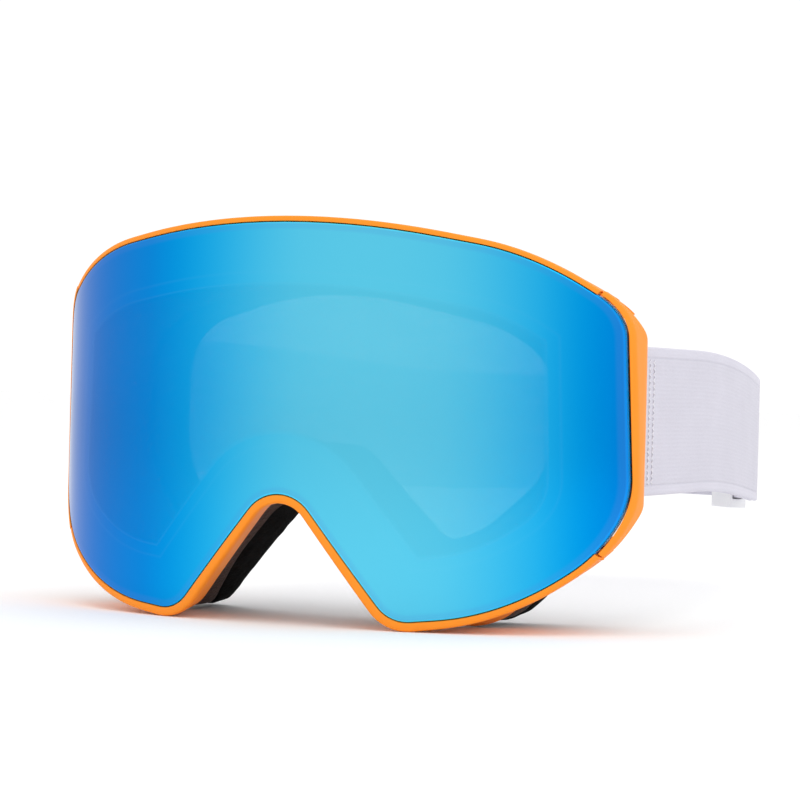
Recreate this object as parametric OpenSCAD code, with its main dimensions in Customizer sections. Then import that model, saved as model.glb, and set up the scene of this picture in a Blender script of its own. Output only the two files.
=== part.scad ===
// Ski goggles with a magnetic double lens, hinged outriggers and an elastic strap.
// Millimetres. X runs across the face, Y from the lens back to the head, Z up.
// The origin is under the middle of the goggles, in the plane that they stand on.

/* [Lens] */
// Thickness of the outer lens
lens_t = 1.8; // [1.2:0.1:2.2]
// Radius of the lens at its middle, seen from above
lens_r = 180; // [170:5:200]
// How fast the lens bends more towards its sides
lens_wrap = 0.52; // [0.46:0.01:0.54]
// Air gap between the two lenses
lens_space = 5; // [4:0.5:5.5]
// Thickness of the inner lens
inner_lens_t = 1; // [0.8:0.1:1.2]

/* [Frame] */
// Width of the orange lip around the lens
rim_w = 2.2; // [1.8:0.1:2.4]
// Gap between the lens edge and the lip
lens_gap = 0.35; // [0.3:0.05:0.45]
// Wall thickness of the face frame
wall_t = 2; // [1.6:0.1:2.4]

/* [Foam] */
// Depth of the first foam layer
foam_base_d = 11; // [8:0.5:12]
// Depth of the soft foam layer
foam_soft_d = 8.5; // [6:0.5:9]
// Depth of the fleece on the face side
fleece_d = 2.5; // [1.5:0.5:3]

/* [Strap] */
// Width of the elastic strap
strap_w = 40; // [36:1:41]
// Thickness of one layer of the strap
strap_t = 1.3; // [1:0.1:1.4]
// How far the strap hangs lower behind the head
strap_drop = 7; // [0:1:8]

/* [Hidden] */

ORANGE = [1.0, 0.55, 0.16];
BLACK = [0.05, 0.05, 0.05];
WHITE = [0.92, 0.92, 0.94];
STEEL = [0.72, 0.73, 0.75];
BEYOND = 140;
TOP = 112;

// Half outlines seen from the front, from the nose round to the crown.
// Each row is x, z and the corner's radius.
LENS = [[0, 41, 11.5], [32, 2, 10], [60, 5, 56.5], [86, 25.5, 31],
        [84, 84.5, 14], [65.5, 98.5, 60], [0, 110, 245]];
FACE = [[0, 42, 20], [41, -0.5, 9], [52, 2, 15], [70, 27, 24],
        [72, 82, 20], [57, 95.5, 38], [0, 107, 240]];
PORT = [[0, 54, 13], [30, 22, 9], [44, 24, 22], [61, 42, 20],
        [60.5, 70, 13], [51, 79.5, 28], [0, 92, 130]];
// How far the rim and the outriggers stand out beyond the lens at each of its corners
RIM_OUT = rim_w * [1, 1.3, 0.8, 0.64, 0.6, 0.64, 0.84];
ARM_OUT = rim_w * [1, 1.3, 0.82, 1, 0.86, 0.64, 0.84];

// Depths behind the lens's front face, along its normal
carrier_back = lens_t + 2.4;
ledge_front = carrier_back + 0.3;
ledge_back = ledge_front + 3;
inner_front = lens_t + lens_space;

// Widths of the rings behind the lens, in from its edge
carrier_out = 5;
carrier_in = 9.5;
gasket_out = 13;
gasket_in = 16;
ledge_in = 10;

// Frame
lip_front = 0.2;
crease_d = 8.5;
crease_side = 5.5;
crease_x = 80;
collar_half = 77.6;
collar_from = 50;
collar_r = 35;
collar_step = 0.2;
seat_y = 22;
seat_r = 115;
flange_t = 2.2;
notch_x = 70;
notch_lo = 21.3;
notch_hi = 88.9;
pocket_x = 77.3;
pocket_lo = 26;
pocket_hi = 82;
slot_clear = 0.3;
ledge_lap = 1;
plan_step = 4;
plan_x = 88;

// Air vents through the top of the rim
vent_x = 24;
vent_w = 14;
vent_h = 0.8;
vent_from = 90;
vent_up = 30;
vent_back = 0.4;

// Thin foam behind the vents
vent_foam_t = 2;
vent_foam_in = 0.8;
vent_foam_front = 1;
vent_foam_back = 0.6;

// Hinges of the outriggers
axis_x = 78.5;
axis_y = 32.2;
knuckle_r = 2.2;
pin_r = 0.8;
pin_fit = 0.05;
tab_t = 2;
TABS = [22.6, 85.6];
// A tab seen from above, from the knuckle out to the cover
TAB_REACH = [[82.4, 33.3], [84.2, 33.3], [84.2, 36]];
tab_front = 1.6;
boss_t = 2;
knuckle_h = tab_t + 2 * slot_clear + 2 * boss_t;
knuckle_clear = 0.4;

// Outriggers
outrigger_gap = 0.65;
tip_gap = 1.05;
tip_lo = 29;
tip_hi = 80;
cover_x = 87.4;
cover_y = 37.5;
cover_r = 16;
cover_t = 1.4;
cover_turn = 33;
bar_x = 80.9;
bar_y = 42.9;
bar_w = 2;
bar_d = 3;
bar_lap = 0.8;
web_gap = 0.6;
strap_mid = 56;
web_t = 3.8;
OUTRIGGER_SIDE = [[20, 95], [29, 89.5], [45, 77.8], [47, 72], [47, 40], [43, 34],
                  [31, 20.5], [20, 17]];

// Strap route seen from above: a long gentle side arc, then a round back
strap_x = 82.3;
strap_y = 50;
strap_start = 10.3;
side_r = 608;
side_turn = 18;
back_r = (strap_x - side_r * (1 - cos(side_turn))) / cos(side_turn);
back_y = strap_y + (side_r - back_r) * sin(side_turn);
side_len = side_r * side_turn * PI / 180;
half_len = side_len + back_r * (90 - side_turn) * PI / 180;
return_left_len = 141;
adjuster_turn = 50;
adjuster_w = 13;
adjuster_rail = 3;
adjuster_t = 1.2;
adjuster_bar = 2.4;
adjuster_slack = 0.45;
band_step = 6;
layer_gap = 0.1;
drop_from = 30;
drop_over = 130;
loop_gap = 0.15;
TACK_ROWS = [54.5, 58];
tack_t = 0.3;
tack_w = 1;
tack_in = 3;
GRIP_ROWS = [-10, 0, 10];
grip_t = 0.3;
grip_w = 1.2;
grip_from = 36;
grip_end = 3;
window_in = 2;

// Magnets: arc length from the middle, and height
MAGNETS = [[24, 97.6], [57, 89.5], [84.5, 54], [62, 11.5]];
magnet_r = 2;
magnet_t = 1.6;

// ---------- outlines ----------

function unit(v) = v / norm(v);
function turn(u, v) = atan2(u[0] * v[1] - u[1] * v[0], u * v);
function spin(p, a) = [p[0] * cos(a) - p[1] * sin(a), p[0] * sin(a) + p[1] * cos(a)];
function flat(p) = [p[0], p[1]];
function flipped(p) = [-p[0], p[1], p[2]];
function corner(half, i) =
    i < 0 ? flipped(half[-i]) :
    i >= len(half) ? flipped(half[2 * len(half) - 2 - i]) : half[i];

// A half outline moved outwards by d, or inwards where d is negative
function grown(half, d) = [for (i = [0:len(half) - 1]) let (
    b = flat(corner(half, i)),
    u = unit(b - flat(corner(half, i - 1))),
    v = unit(flat(corner(half, i + 1)) - b),
    nu = [u[1], -u[0]],
    nv = [v[1], -v[0]],
    q = b + d * (nu + nv) / (1 + nu * nv))
    [q[0], q[1], max(0.5, half[i][2] + d * sign(turn(u, v)))]];

// A half outline moved outwards by its own width at each corner
function widened(half, widths) = [for (i = [0:len(half) - 1]) grown(half, widths[i])[i]];

// The closed outline, with every corner rounded by an arc
arc_steps = 5;
function outline(half) = let (n = 2 * len(half) - 2) [for (i = [0:n - 1]) let (
    b = flat(corner(half, i)),
    u = unit(b - flat(corner(half, i - 1))),
    v = unit(flat(corner(half, (i + 1) % n)) - b),
    t = turn(u, v),
    r = corner(half, i)[2],
    from = b - u * r * tan(abs(t) / 2),
    hub = from + sign(t) * r * [-u[1], u[0]])
    each [for (k = [0:arc_steps]) hub + spin(from - hub, t * k / arc_steps)]];

// ---------- lens curve seen from above ----------

curve_step = 4;
curve_end = 120;
function bend(s) = s / lens_r * 180 / PI + lens_wrap * pow(s / 100, 3) * 180 / PI;
CURVE = [for (i = 0, p = [0, 0]; i * curve_step <= curve_end;
    p = p + curve_step * [cos(bend((i + 0.5) * curve_step)), sin(bend((i + 0.5) * curve_step))],
    i = i + 1) p];
function lens_y(x) = lookup(abs(x), CURVE);
function half_curve(d) = [for (i = [0:len(CURVE) - 1])
    CURVE[i] + d * [-sin(bend(i * curve_step)), cos(bend(i * curve_step))]];
function full_curve(d) = let (c = half_curve(d))
    concat([for (i = [len(c) - 1:-1:1]) [-c[i][0], c[i][1]]], c);
function reversed(c) = [for (i = [len(c) - 1:-1:0]) c[i]];
function crease_y(x) = lens_y(x) + crease_d + crease_side * pow(x / crease_x, 2);
function seat(x) = seat_y + seat_r - sqrt(seat_r * seat_r - x * x);

// Stands an outline up and runs it through the whole depth
module through(half) {
    translate([0, BEYOND, 0]) rotate([90, 0, 0]) linear_extrude(BEYOND + 20) polygon(outline(half));
}

// The layer between two depths behind the lens's front face
module layer(d0, d1) {
    linear_extrude(TOP) polygon(concat(full_curve(d0), reversed(full_curve(d1))));
}

// Part of a lens layer that lies between two outlines
module lens_ring(d0, d1, outside, inside) {
    intersection() {
        layer(d0, d1);
        difference() {
            through(outside);
            through(inside);
        }
    }
}

// Puts its children on the lens at arc length s, with local Z pointing back
module on_lens(s, z, d) {
    i = abs(s) / curve_step;
    c = half_curve(d);
    p = c[floor(i)] + (i - floor(i)) * (c[ceil(i)] - c[floor(i)]);
    translate([sign(s) * p[0], p[1], z]) rotate([0, 0, sign(s) * bend(abs(s))])
        rotate([-90, 0, 0]) children();
}

module magnets(d, r, t) {
    for (m = MAGNETS, side = [-1, 1]) on_lens(side * m[0], m[1], d) cylinder(r = r, h = t, $fn = 24);
}

// ---------- solids swept from cross sections ----------

module sweep(sections, closed) {
    n = len(sections);
    m = len(sections[0]);
    // the two halves of a section are split along opposite diagonals, so that stacked rings fit together
    sides = [for (i = [0:closed ? n - 1 : n - 2], j = [0:m - 1]) let (
        a = i * m + j,
        b = i * m + (j + 1) % m,
        c = ((i + 1) % n) * m + (j + 1) % m,
        d = ((i + 1) % n) * m + j)
        each j < m / 2 ? [[a, b, c], [a, c, d]] : [[a, b, d], [b, c, d]]];
    caps = closed ? [] : [[for (j = [m - 1:-1:0]) j], [for (j = [0:m - 1]) (n - 1) * m + j]];
    polyhedron([for (s = sections) each s], concat(sides, caps));
}

// A point of an outline, stood up at depth y and never below the ground
function stood(p, y) = [p[0], y, max(0, p[1])];
function at_crease(p, dy = 0) = stood(p, crease_y(p[0]) + dy);
function at_seat(p, dy = 0) = stood(p, seat(p[0]) + dy);

// A ring of foam between two depths behind the seat
module foam_ring(y0, y1, out0, out1, in0, in1) {
    o0 = outline(out0);
    o1 = outline(out1);
    i0 = outline(in0);
    i1 = outline(in1);
    sweep([for (i = [0:len(o0) - 1])
        [at_seat(o0[i], y0), at_seat(o1[i], y1), at_seat(i1[i], y1), at_seat(i0[i], y0)]], true);
}

module scale_x(side) {
    mirror([side < 0 ? 1 : 0, 0, 0]) children();
}

// Moves a sub-part so that the origin is under the middle of the whole object
mid_y = (back_y + back_r + strap_t / 2 - lip_front) / 2;
module placed() {
    translate([0, -mid_y, 0]) children();
}

// ---------- lens module ----------

module outer_lens() placed() color([0.1, 0.6, 0.9, 0.8]) intersection() {
    layer(0, lens_t);
    through(LENS);
}

module lens_carrier() placed() color(BLACK) difference() {
    lens_ring(lens_t, carrier_back, grown(LENS, -carrier_out), grown(LENS, -carrier_in));
    magnets(carrier_back - magnet_t, magnet_r + 0.05, magnet_t + 1);
    for (side = [-1, 1]) scale_x(side) knuckles(knuckle_r + knuckle_clear, knuckle_h + 1);
}

module lens_magnets() placed() color(STEEL) magnets(carrier_back - magnet_t, magnet_r, magnet_t - 0.05);

module lens_gasket() placed() color(BLACK)
    lens_ring(lens_t, inner_front, grown(LENS, -gasket_out), grown(LENS, -gasket_in));

module inner_lens() placed() color([0.8, 0.9, 0.95, 0.4]) intersection() {
    layer(inner_front, inner_front + inner_lens_t);
    through(grown(LENS, -gasket_out));
}

// ---------- frame ----------

RIM = widened(LENS, RIM_OUT);
ARM = widened(LENS, ARM_OUT);
COLLAR = [for (p = grown(RIM, -collar_step))
    [min(p[0], collar_half), p[1], p[0] > collar_from ? min(p[2], collar_r) : p[2]]];
COLLAR_IN = grown(COLLAR, -wall_t);

module rim_plan() {
    xs = [-plan_x:plan_step:plan_x];
    polygon(concat([for (x = xs) [x, lens_y(x) - lip_front]],
        reversed([for (x = xs) [x, crease_y(x)]])));
}

// The round bosses that hold the hinge pins, on one side
module knuckles(r, h) {
    for (z = TABS) translate([axis_x, axis_y, z]) cylinder(r = r, h = h, center = true, $fn = 32);
}

module front_frame() placed() color(ORANGE) difference() {
    union() {
        difference() {
            union() {
                intersection() {
                    linear_extrude(TOP) rim_plan();
                    difference() {
                        through(RIM);
                        through(grown(LENS, lens_gap));
                    }
                }
                lens_ring(ledge_front, ledge_back, grown(LENS, ledge_lap), grown(LENS, -ledge_in));
            }
            // room for the outriggers outside the lens
            for (side = [-1, 1]) scale_x(side) {
                difference() {
                    translate([notch_x, 0, notch_lo]) cube([30, 60, notch_hi - notch_lo]);
                    through(grown(LENS, -slot_clear));
                }
                translate([pocket_x, 0, pocket_lo]) cube([20, 60, pocket_hi - pocket_lo]);
            }
        }
        for (side = [-1, 1]) scale_x(side) knuckles(knuckle_r, knuckle_h);
    }
    for (side = [-1, 1]) scale_x(side) {
        for (z = TABS) {
            translate([axis_x - knuckle_r - slot_clear, axis_y - 4, z - tab_t / 2 - slot_clear])
                cube([20, 20, tab_t + 2 * slot_clear]);
            translate([axis_x, axis_y, z]) cylinder(r = pin_r, h = 12, center = true, $fn = 24);
        }
    }
    magnets(ledge_front - 1, magnet_r + 0.05, magnet_t + 1);
    // air vents through the top of the rim
    for (i = [-2:2]) translate([i * vent_x, lens_y(i * vent_x) + ledge_back + vent_back, vent_from])
        rotate([0, 0, bend(abs(i) * vent_x) * sign(i)])
            translate([-vent_w / 2, 0, 0]) cube([vent_w, vent_h, vent_up]);
    translate([-BEYOND, -BEYOND, -20]) cube([2 * BEYOND, 2 * BEYOND, 20]);
}

module frame_magnets() placed() color(STEEL) magnets(ledge_front, magnet_r, magnet_t - 0.05);

module face_frame() placed() color(ORANGE) {
    of = outline(COLLAR);
    or = outline(FACE);
    fo = outline(grown(PORT, 2));
    ir = outline(grown(FACE, -wall_t));
    ifr = outline(COLLAR_IN);
    sweep([for (i = [0:len(of) - 1]) [
        at_crease(of[i]), at_seat(or[i]), at_seat(fo[i]),
        at_seat(fo[i], -flange_t), at_seat(ir[i], -flange_t), at_crease(ifr[i])]], true);
}

// Thin foam glued behind the walls, over part of the outline
module vent_foam(first, last) placed() color(BLACK) {
    inset = wall_t + vent_foam_in;
    fo = outline(grown(COLLAR, -inset));
    ro = outline(grown(FACE, -inset));
    fi = outline(grown(COLLAR, -inset - vent_foam_t));
    ri = outline(grown(FACE, -inset - vent_foam_t));
    sweep([for (i = [first:last]) [
        at_crease(fo[i], vent_foam_front), at_seat(ro[i], -flange_t - vent_foam_back),
        at_seat(ri[i], -flange_t - vent_foam_back), at_crease(fi[i], vent_foam_front)]], false);
}

corner_points = arc_steps + 1;
module top_vent_foam() vent_foam(5 * corner_points + 1, 8 * corner_points - 2);
module lower_vent_foam_right() vent_foam(corner_points + 3, 2 * corner_points + 2);
module lower_vent_foam_left() scale_x(-1) lower_vent_foam_right();

// ---------- face foam ----------

FOAM_OUT = grown(FACE, -0.6);
FOAM_BACK = grown(FACE, -1.2);
soft_y = foam_base_d + foam_soft_d;
glue_gap = 0.4;

module foam_base() placed() color([0.25, 0.17, 0.15])
    foam_ring(glue_gap, foam_base_d, FOAM_OUT, FOAM_OUT, PORT, PORT);

module foam_soft() placed() color(BLACK)
    foam_ring(foam_base_d, soft_y, FOAM_OUT, FOAM_BACK, PORT, grown(PORT, 0.6));

module face_fleece() placed() color(BLACK)
    foam_ring(soft_y, soft_y + fleece_d, FOAM_BACK, grown(FOAM_BACK, -1.4),
        grown(PORT, 0.6), grown(PORT, 1.6));

// ---------- outriggers ----------

module outrigger_plan() {
    xs = [76:1:87];
    intersection() {
        polygon(concat([for (x = xs) [x, lens_y(x) - lip_front]],
            [[cover_x, lens_y(cover_x) - lip_front], [cover_x, cover_y], [90, cover_y], [90, 60], [76, 60]]));
        union() {
            translate([70, 0]) square([cover_x - 70, cover_y]);
            translate([cover_x - cover_r, cover_y]) circle(r = cover_r, $fn = 96);
        }
    }
}

module cover_plan() difference() {
    intersection() {
        translate([cover_x - cover_r, cover_y]) circle(r = cover_r, $fn = 96);
        translate([cover_x - cover_r, cover_y])
            polygon([[0, 0], [40, 0], 40 * [cos(cover_turn), sin(cover_turn)]]);
    }
    translate([cover_x - cover_r, cover_y]) circle(r = cover_r - cover_t, $fn = 96);
}

// The outer wall, the cover over the strap loop and the webs at the bar's ends
module outrigger_shell() difference() {
    intersection() {
        union() {
            difference() {
                linear_extrude(TOP) outrigger_plan();
                through(grown(LENS, outrigger_gap));
                intersection() {
                    through(grown(LENS, tip_gap));
                    for (z = [tip_lo - BEYOND, tip_hi]) translate([0, -20, z]) cube(BEYOND);
                }
            }
            linear_extrude(TOP) cover_plan();
            for (z = [strap_mid - strap_w / 2 - web_gap - web_t, strap_mid + strap_w / 2 + web_gap])
                translate([bar_x - bar_w / 2, bar_y - bar_d / 2, z]) linear_extrude(web_t)
                    intersection() {
                        square([20, bar_d]);
                        translate([cover_x - cover_r - bar_x + bar_w / 2, cover_y - bar_y + bar_d / 2])
                            circle(r = cover_r - 0.2, $fn = 96);
                    }
        }
        through(ARM);
        rotate([90, 0, 90]) linear_extrude(100) polygon(OUTRIGGER_SIDE);
        translate([0, 0, notch_lo + 0.3]) linear_extrude(notch_hi - notch_lo - 0.6) square([100, 60]);
    }
    knuckles(knuckle_r + knuckle_clear, knuckle_h + 2 * knuckle_clear);
}

module outrigger() placed() color(ORANGE) difference() {
    union() {
        outrigger_shell();
        translate([bar_x - bar_w / 2, bar_y - bar_d / 2, strap_mid - strap_w / 2 - bar_lap])
            cube([bar_w, bar_d, strap_w + 2 * bar_lap]);
        for (z = TABS) translate([0, 0, z - tab_t / 2]) {
            translate([axis_x, axis_y, 0]) cylinder(r = knuckle_r, h = tab_t, $fn = 32);
            linear_extrude(tab_t)
                polygon(concat([[axis_x, axis_y - tab_front]], TAB_REACH, [[axis_x, axis_y + knuckle_r]]));
        }
    }
    for (z = TABS) translate([axis_x, axis_y, z])
        cylinder(r = pin_r + pin_fit, h = tab_t + 2, center = true, $fn = 24);
}

module outrigger_right() outrigger();
module outrigger_left() scale_x(-1) outrigger();

module hinge_pins() placed() color(STEEL) for (z = TABS) translate([axis_x, axis_y, z])
    cylinder(r = pin_r, h = knuckle_h - 0.4, center = true, $fn = 24);
module hinge_pins_right() hinge_pins();
module hinge_pins_left() scale_x(-1) hinge_pins();

// ---------- strap ----------

// Place and heading of the strap's middle line, w along it from the right outrigger
function strap_at(w) =
    w > half_len ? let (p = strap_at(2 * half_len - w)) [-p[0], p[1], 180 - p[2]] :
    w < side_len ? let (a = w / side_r * 180 / PI)
        [strap_x - side_r * (1 - cos(a)), strap_y + side_r * sin(a), a] :
    let (a = side_turn + (w - side_len) / back_r * 180 / PI)
        [back_r * cos(a), back_y + back_r * sin(a), a];
function ease(t) = let (u = min(1, max(0, t))) u * u * (3 - 2 * u);
function strap_z(w) = strap_mid - strap_drop * ease((min(w, 2 * half_len - w) - drop_from) / drop_over);

// A band along the strap: inset towards the head, thickness, and height
module band(w0, w1, inset, thick, h, dz = 0) {
    first = floor(w0 / band_step) + 1;
    last = ceil(w1 / band_step) - 1;
    sweep([for (w = [w0, for (k = [first:last]) k * band_step, w1]) let (
        p = strap_at(w),
        inward = [-cos(p[2]), -sin(p[2])],
        outer = flat(p) + inward * (inset - thick / 2),
        inner = flat(p) + inward * (inset + thick / 2),
        z = strap_z(w) + dz)
        [[outer[0], outer[1], z - h / 2], [outer[0], outer[1], z + h / 2],
         [inner[0], inner[1], z + h / 2], [inner[0], inner[1], z - h / 2]]], false);
}

module strap_end() placed() color(WHITE) {
    x0 = bar_x - bar_w / 2;
    x1 = bar_x + bar_w / 2;
    y0 = bar_y - bar_d / 2;
    y1 = bar_y + bar_d / 2;
    tail_y = strap_y + strap_start - 0.3;
    out_x = strap_x + strap_t / 2;
    in_x = out_x - 2 * strap_t - 0.05;
    gap = loop_gap;
    translate([0, 0, strap_mid - strap_w / 2]) linear_extrude(strap_w) difference() {
        polygon([[x0 - gap - strap_t, y0], [x0 - 0.4, y0 - gap - strap_t], [x1 + 0.4, y0 - gap - strap_t],
            [x1 + gap + strap_t, y0], [x1 + gap + strap_t, y1], [out_x, y1 + 7], [out_x, tail_y],
            [in_x, tail_y], [in_x, y1 + 7], [x0 - gap - strap_t, y1]]);
        polygon([[x0 - gap, y0 - gap], [x1 + gap, y0 - gap], [x1 + gap, y1],
            [out_x - strap_t, y1 + 6], [x0 - gap, y1]]);
    }
}
module strap_end_right() strap_end();
module strap_end_left() scale_x(-1) strap_end();

// Rows of stitching that close the loop around the bar
module bar_tacks() placed() color(WHITE) for (y = TACK_ROWS)
    translate([strap_x + strap_t / 2, y, strap_mid - strap_w / 2 + tack_in])
        cube([tack_t, tack_w, strap_w - 2 * tack_in]);
module bar_tacks_right() bar_tacks();
module bar_tacks_left() scale_x(-1) bar_tacks();

module strap() placed() color(WHITE) band(strap_start, 2 * half_len - strap_start, 0, strap_t, strap_w);

adjuster_mid = side_len + back_r * (adjuster_turn - side_turn) * PI / 180;
module strap_return_right() placed() color(WHITE)
    band(strap_start, adjuster_mid, strap_t + layer_gap, strap_t, strap_w);
module strap_return_left() placed() color(WHITE)
    band(2 * half_len - return_left_len, 2 * half_len - strap_start,
        strap_t + layer_gap, strap_t, strap_w);

// Lines of grip print along the inside of the band
module grip_lines() placed() color([0.8, 0.8, 0.82]) for (dz = GRIP_ROWS)
    band(adjuster_mid + grip_from, 2 * half_len - return_left_len - grip_end,
        (strap_t + grip_t) / 2 + layer_gap, grip_t, grip_w, dz);

// A block bent about the middle of the strap's round back
module arc_block(r0, r1, z0, z1, a0, a1) {
    rotate([0, 0, a0]) translate([0, 0, z0]) rotate_extrude(angle = a1 - a0, $fn = 96)
        translate([r0, 0]) square([r1 - r0, z1 - z0]);
}

// Rectangular slide around both layers of the strap, with a middle bar outside
module strap_adjuster() placed() color(WHITE) {
    low = strap_mid - strap_drop - strap_w / 2 - adjuster_slack;
    high = strap_mid - strap_drop + strap_w / 2 + adjuster_slack;
    out_r = back_r + strap_t / 2 + adjuster_slack;
    in_r = back_r - 1.5 * strap_t - layer_gap - adjuster_slack;
    half = adjuster_w / back_r * 90 / PI;
    bar = adjuster_bar / back_r * 180 / PI;
    translate([0, back_y, 0]) rotate([0, 0, adjuster_turn]) difference() {
        arc_block(in_r - adjuster_t, out_r + adjuster_t,
            low - adjuster_rail, high + adjuster_rail, -half, half);
        arc_block(in_r, out_r, low, high, -2 * half, 2 * half);
        for (side = [0, 1]) rotate([0, 0, side * (bar / 2 - half + bar) + (1 - side) * bar / 2])
            arc_block(out_r - 1, out_r + 2 * adjuster_t,
                low + window_in, high - window_in, 0, half - 1.5 * bar);
        arc_block(in_r - 2 * adjuster_t, in_r + 1,
            low + window_in, high - window_in, bar - half, half - bar);
    }
}

outer_lens();
lens_carrier();
lens_magnets();
lens_gasket();
inner_lens();
front_frame();
frame_magnets();
face_frame();
top_vent_foam();
lower_vent_foam_left();
lower_vent_foam_right();
foam_base();
foam_soft();
face_fleece();
outrigger_left();
outrigger_right();
hinge_pins_left();
hinge_pins_right();
strap_end_left();
strap_end_right();
bar_tacks_left();
bar_tacks_right();
strap();
strap_return_left();
strap_return_right();
grip_lines();
strap_adjuster();
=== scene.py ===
"""Looks for the ski goggles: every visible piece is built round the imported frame, in metres."""

import math

import bmesh
import bpy
import numpy as np
from mathutils import Matrix, Vector, noise


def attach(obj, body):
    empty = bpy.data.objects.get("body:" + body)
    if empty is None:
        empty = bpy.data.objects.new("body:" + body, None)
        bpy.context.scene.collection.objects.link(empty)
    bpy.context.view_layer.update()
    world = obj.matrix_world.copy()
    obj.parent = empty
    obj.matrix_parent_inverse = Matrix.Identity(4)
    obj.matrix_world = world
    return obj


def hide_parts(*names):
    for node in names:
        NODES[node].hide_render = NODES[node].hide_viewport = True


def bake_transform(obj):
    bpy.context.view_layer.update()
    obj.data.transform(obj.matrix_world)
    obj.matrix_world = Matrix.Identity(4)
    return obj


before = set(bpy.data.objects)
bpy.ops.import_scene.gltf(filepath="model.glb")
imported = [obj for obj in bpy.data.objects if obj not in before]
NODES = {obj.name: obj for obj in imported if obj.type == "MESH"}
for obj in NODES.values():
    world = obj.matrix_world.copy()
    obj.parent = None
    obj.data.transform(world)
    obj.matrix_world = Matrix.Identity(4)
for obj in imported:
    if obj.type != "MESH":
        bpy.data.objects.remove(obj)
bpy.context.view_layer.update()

# ---------------------------------------------------------------- shape facts, millimetres, as in the part
MID_Y = 138.2533
LENS = [(0, 41, 11.5), (32, 2, 10), (60, 5, 56.5), (86, 25.5, 31), (84, 84.5, 14), (65.5, 98.5, 60), (0, 110, 245)]
FACE = [(0, 42, 20), (41, -0.5, 9), (52, 2, 15), (70, 27, 24), (72, 82, 20), (57, 95.5, 38), (0, 107, 240)]
PORT = [(0, 54, 13), (30, 22, 9), (44, 24, 22), (61, 42, 20), (60.5, 70, 13), (51, 79.5, 28), (0, 92, 130)]
LENS_T = 1.8
LENS_GAP = 0.15
RIM_OUT = (2.2, 2.7, 1.72, 1.41, 1.32, 1.41, 1.85)
ARM_OUT = (2.2, 2.7, 1.8, 2.2, 1.89, 1.41, 1.85)
WALL_OUT = (0.8, 1.4, -1.2, -2.2, -2.2, -1.5, 1.5)
GASKET_OUT, GASKET_IN = 13, 16
ARM_SIDE = [(17, 20), (20.5, 31), (34, 43), (40, 47), (72, 47), (77.8, 45), (89.5, 29), (95, 20)]
NOTCH_LO, NOTCH_HI = 21.3, 88.9
AXIS_X, AXIS_Y = 78.5, 32.2
STRAP_X, STRAP_Y, STRAP_MID, STRAP_W, STRAP_T = 82.3, 50.0, 56.0, 40.0, 1.3
SIDE_R, SIDE_TURN = 608.0, math.radians(18)
BACK_R = (STRAP_X - SIDE_R * (1 - math.cos(SIDE_TURN))) / math.cos(SIDE_TURN)
BACK_Y = STRAP_Y + (SIDE_R - BACK_R) * math.sin(SIDE_TURN)
SIDE_LEN = SIDE_R * SIDE_TURN
HALF_LEN = SIDE_LEN + BACK_R * (math.pi / 2 - SIDE_TURN)
ADJUSTER_TURN = math.radians(50)
ADJUSTER_AT = SIDE_LEN + BACK_R * (ADJUSTER_TURN - SIDE_TURN)


# ---------------------------------------------------------------- outlines
def corner(half, i):
    if i < 0:
        x, z, r = half[-i]
        return np.array((-x, z)), r
    if i >= len(half):
        x, z, r = half[2 * len(half) - 2 - i]
        return np.array((-x, z)), r
    x, z, r = half[i]
    return np.array((x, z), float), r


def unit(v):
    return v / np.linalg.norm(v)


def turn(u, v):
    return math.atan2(u[0] * v[1] - u[1] * v[0], float(u @ v))


def grown(half, d):
    out = []
    for i in range(len(half)):
        (a, _), (b, r), (c, _) = corner(half, i - 1), corner(half, i), corner(half, i + 1)
        u, v = unit(b - a), unit(c - b)
        nu, nv = np.array((u[1], -u[0])), np.array((v[1], -v[0]))
        q = b + d * (nu + nv) / (1 + float(nu @ nv))
        out.append((q[0], q[1], max(0.5, r + d * math.copysign(1, turn(u, v)))))
    return out


def outline(half, arc=14, run=6):
    """Closed outline, n x 2. The same arc and run counts give points that match one to one."""
    n, arcs = 2 * len(half) - 2, []
    for i in range(n):
        (a, _), (b, r), (c, _) = corner(half, i - 1), corner(half, i), corner(half, (i + 1) % n)
        u, v = unit(b - a), unit(c - b)
        t = turn(u, v)
        start = b - u * r * math.tan(abs(t) / 2)
        hub = start + math.copysign(1, t) * r * np.array((-u[1], u[0]))
        w = start - hub
        arcs.append([hub + np.array((w[0] * math.cos(t * k / arc) - w[1] * math.sin(t * k / arc),
                                     w[0] * math.sin(t * k / arc) + w[1] * math.cos(t * k / arc)))
                     for k in range(arc + 1)])
    pts = []
    for i in range(n):
        pts += arcs[i]
        a, b = arcs[i][-1], arcs[(i + 1) % n][0]
        pts += [a + (b - a) * k / run for k in range(1, run)]
    return np.array(pts)


def widened(half, widths):
    return [grown(half, w)[i] for i, w in enumerate(widths)]


RIM, ARM = widened(LENS, RIM_OUT), widened(LENS, ARM_OUT)
COLLAR = [(min(x, 77.6), z, min(r, 35) if x > 50 else r) for x, z, r in widened(LENS, WALL_OUT)]

# ---------------------------------------------------------------- the lens's curve seen from above
CURVE_STEP = 0.5
CS = np.arange(0, 128, CURVE_STEP)
CA = CS / 180 + 0.52 * (CS / 100) ** 3
CM = (CS[:-1] + CURVE_STEP / 2) / 180 + 0.52 * ((CS[:-1] + CURVE_STEP / 2) / 100) ** 3
CX = np.concatenate([[0], np.cumsum(np.cos(CM)) * CURVE_STEP])
CY = np.concatenate([[0], np.cumsum(np.sin(CM)) * CURVE_STEP])


def lens_y(x, d=0.0):
    return np.interp(np.abs(x), CX - d * np.sin(CA), CY + d * np.cos(CA))


def lens_s(x):
    return np.sign(x) * np.interp(np.abs(x), CX, CS)


def lens_a(x):
    return np.sign(x) * np.interp(np.abs(x), CX, CA)


def crease_y(x):
    return lens_y(x) + 8.5 + 5.5 * (np.asarray(x) / 80) ** 2


def seat(x):
    return 22 + 115 - np.sqrt(115**2 - np.asarray(x) ** 2)


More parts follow.
